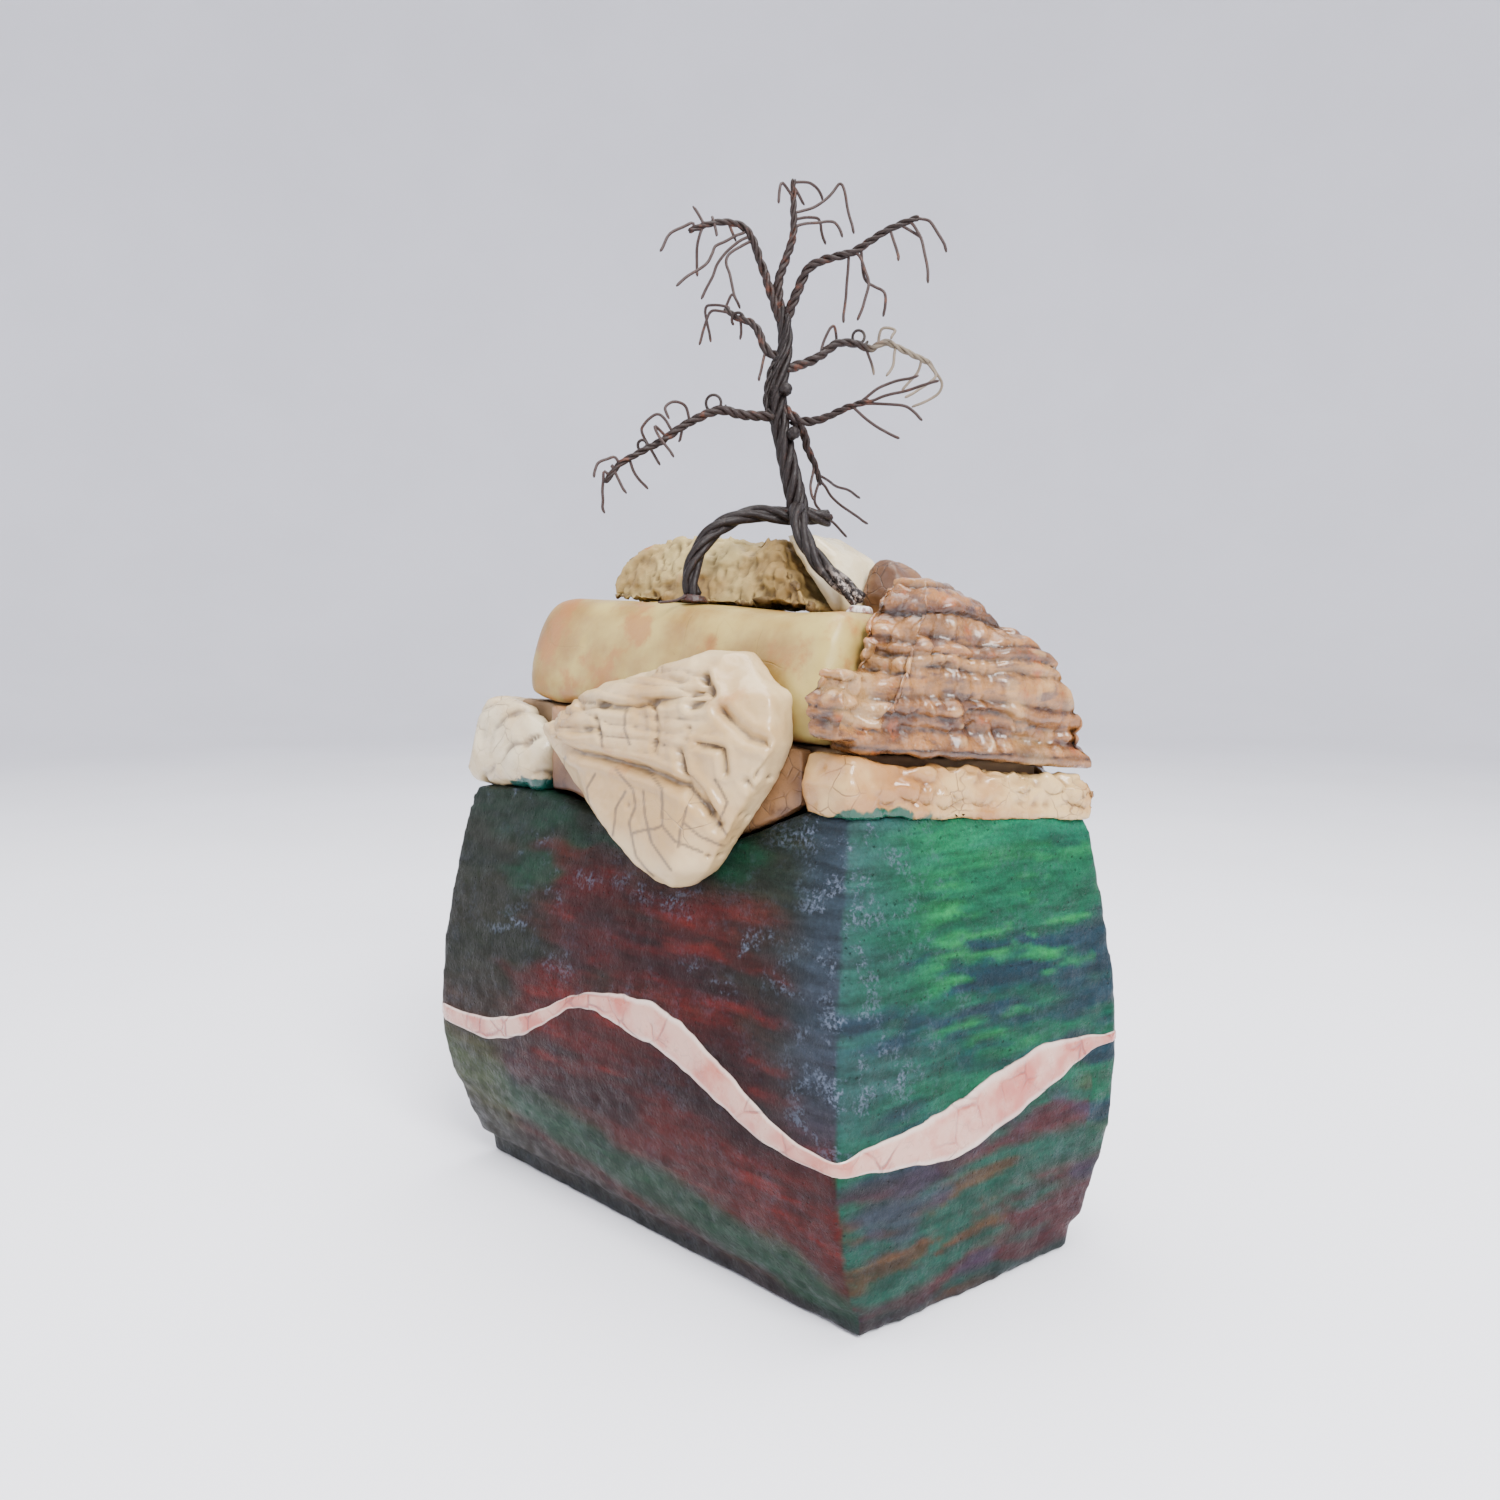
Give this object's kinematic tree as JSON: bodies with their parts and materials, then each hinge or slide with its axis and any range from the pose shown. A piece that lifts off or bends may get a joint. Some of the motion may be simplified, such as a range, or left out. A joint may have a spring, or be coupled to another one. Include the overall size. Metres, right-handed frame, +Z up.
{
  "type": "lidded raku box with wire tree",
  "caption": "Faceted raku-glazed clay box with a lift-off lid of stacked clay rocks that carries a twisted wire tree.",
  "frame": {"origin": "middle of the base on the surface that the box stands on", "axes": "+X along the long front wall to the right, -Y out of the front wall, +Z up"},
  "size_m": [0.1709, 0.1142, 0.276],
  "materials": {
    "green_glaze": "matte raku glaze, streaked green, maroon and blue-grey",
    "raw_clay": "smoke-blackened fired clay",
    "pink_crackle": "white raku glaze with red crackle lines",
    "white_crackle": "glossy white raku glaze with fine crackle",
    "cream_crackle": "cream raku glaze with grey crackle lines",
    "yellow_clay": "smooth satin buff-yellow clay",
    "buff_clay": "rough buff clay",
    "brown_clay": "brown stained clay",
    "brown_glaze": "glossy brown glaze over layered clay",
    "dark_wire": "annealed iron wire, blackened",
    "twig_wire": "annealed iron wire, rusting",
    "glue": "dried white glue"
  },
  "bodies": {
    "box": {"box_floor": "raw_clay", "box_walls": "green_glaze", "crackle_band": "pink_crackle", "rim_rock_left": "white_crackle", "rim_slab_right": "cream_crackle", "rim_rock_rear_left": "cream_crackle", "rim_rock_rear_right": "cream_crackle"},
    "lid": {"lid_slab": "yellow_clay", "lid_tongue": "brown_clay", "lid_flange": "raw_clay", "front_rock": "cream_crackle", "back_rock": "buff_clay", "cap_stone": "white_crackle", "rear_boulder": "brown_clay", "strata_rock": "brown_glaze", "strata_lobe": "brown_glaze", "trunk": "dark_wire", "binding_wire": "dark_wire", "trunk_knots": "dark_wire", "side_strand": "dark_wire", "root_left": "dark_wire", "root_right": "dark_wire", "root_rear": "dark_wire", "root_glue": "glue", "loose_wire": "twig_wire", "branch_1": "dark_wire", "branch_2": "dark_wire", "branch_3": "dark_wire", "branch_4": "dark_wire", "branch_5": "dark_wire", "branch_6": "dark_wire", "branch_7": "dark_wire", "branch_8": "dark_wire", "twigs_1": "twig_wire", "twigs_2": "twig_wire", "twigs_3": "twig_wire", "twigs_4": "twig_wire", "twigs_5": "twig_wire", "twigs_6": "twig_wire", "twigs_7": "twig_wire", "twigs_8": "twig_wire"}
  },
  "joints": [
    {"name": "lid_lift", "type": "slide", "parent": "box", "child": "lid", "axis": [0, 0, 1], "range_m": [0, 0.06]}
  ]
}
